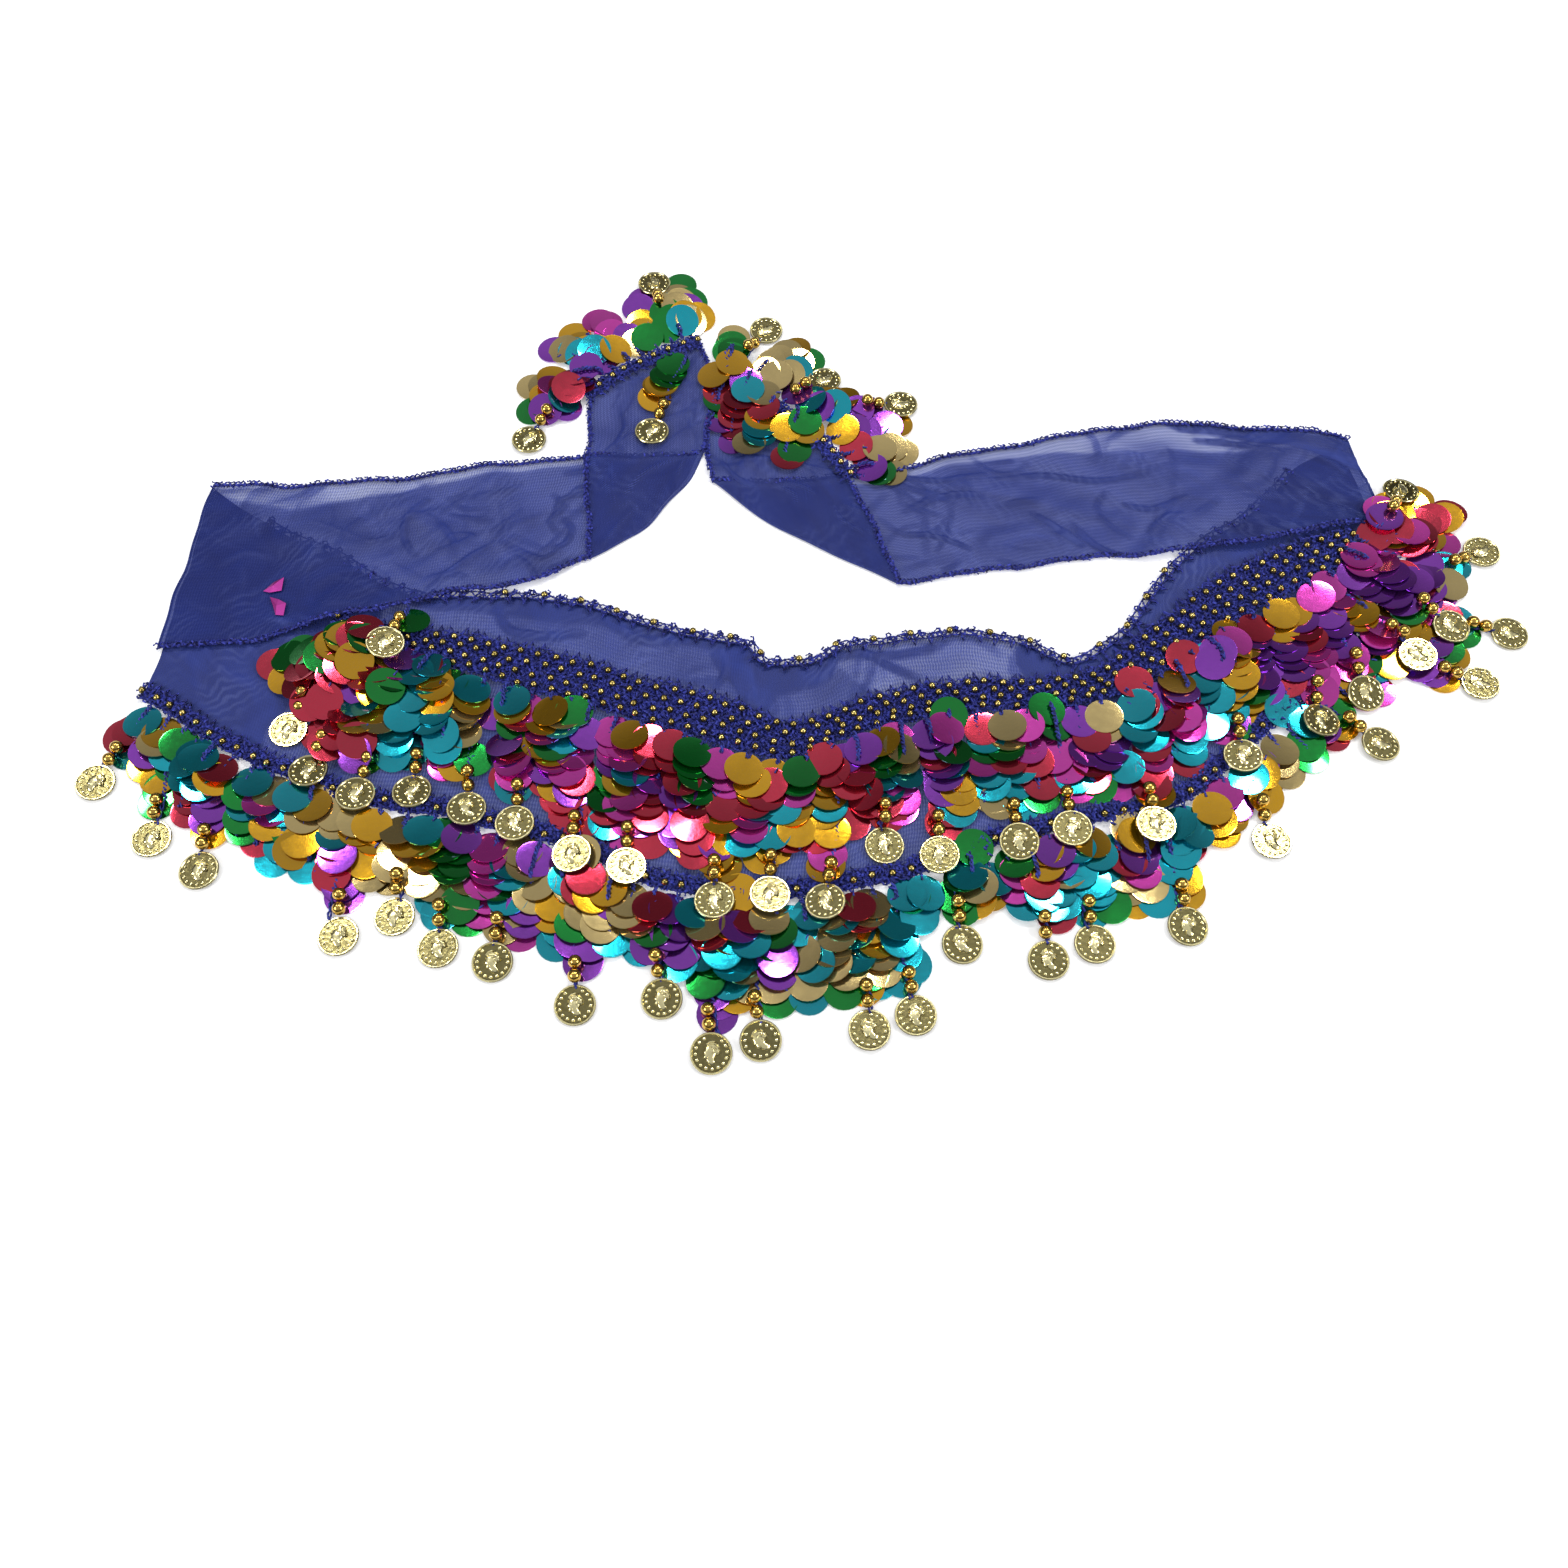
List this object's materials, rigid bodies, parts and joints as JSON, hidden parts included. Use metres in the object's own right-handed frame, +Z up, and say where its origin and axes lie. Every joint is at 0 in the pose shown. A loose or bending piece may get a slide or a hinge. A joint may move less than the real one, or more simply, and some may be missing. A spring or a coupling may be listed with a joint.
{
  "type": "belly dance hip scarf",
  "caption": "Hip scarf for belly dance, laid flat: sheer cloth with a beaded band, tiers of sequin strands ending in coins, and long ties folded back above the waist edge.",
  "frame": {"origin": "on the surface that the scarf lies on, under the middle of the box round the laid-out scarf", "axes": "+X along the waist towards the viewer's right, +Y away from the viewer towards the tie ends, +Z up"},
  "size_m": [0.7655, 0.4987, 0.011],
  "materials": {
    "blue_chiffon": "sheer royal blue chiffon",
    "blue_crochet": "dark blue crochet yarn",
    "gold_trim": "bright gold coat on beads and stamped coins",
    "foil_sequins": "coloured mirror foil"
  },
  "bodies": {
    "root": {"centre_panel": "blue_chiffon", "left_tie": "blue_chiffon", "left_tie_end": "blue_chiffon", "right_tie": "blue_chiffon", "right_tie_end": "blue_chiffon", "waist_edging": "blue_crochet", "lower_hem_edging": "blue_crochet", "left_end_edging": "blue_crochet", "right_end_edging": "blue_crochet", "bead_band": "gold_trim", "upper_fringe_left": "foil_sequins", "upper_fringe_middle": "foil_sequins", "upper_fringe_right": "foil_sequins", "lower_fringe_left": "foil_sequins", "lower_fringe_middle_left": "foil_sequins", "lower_fringe_middle_right": "foil_sequins", "lower_fringe_right": "foil_sequins", "left_end_fringe": "foil_sequins", "right_end_fringe": "foil_sequins", "turned_strand": "foil_sequins"}
  },
  "joints": []
}
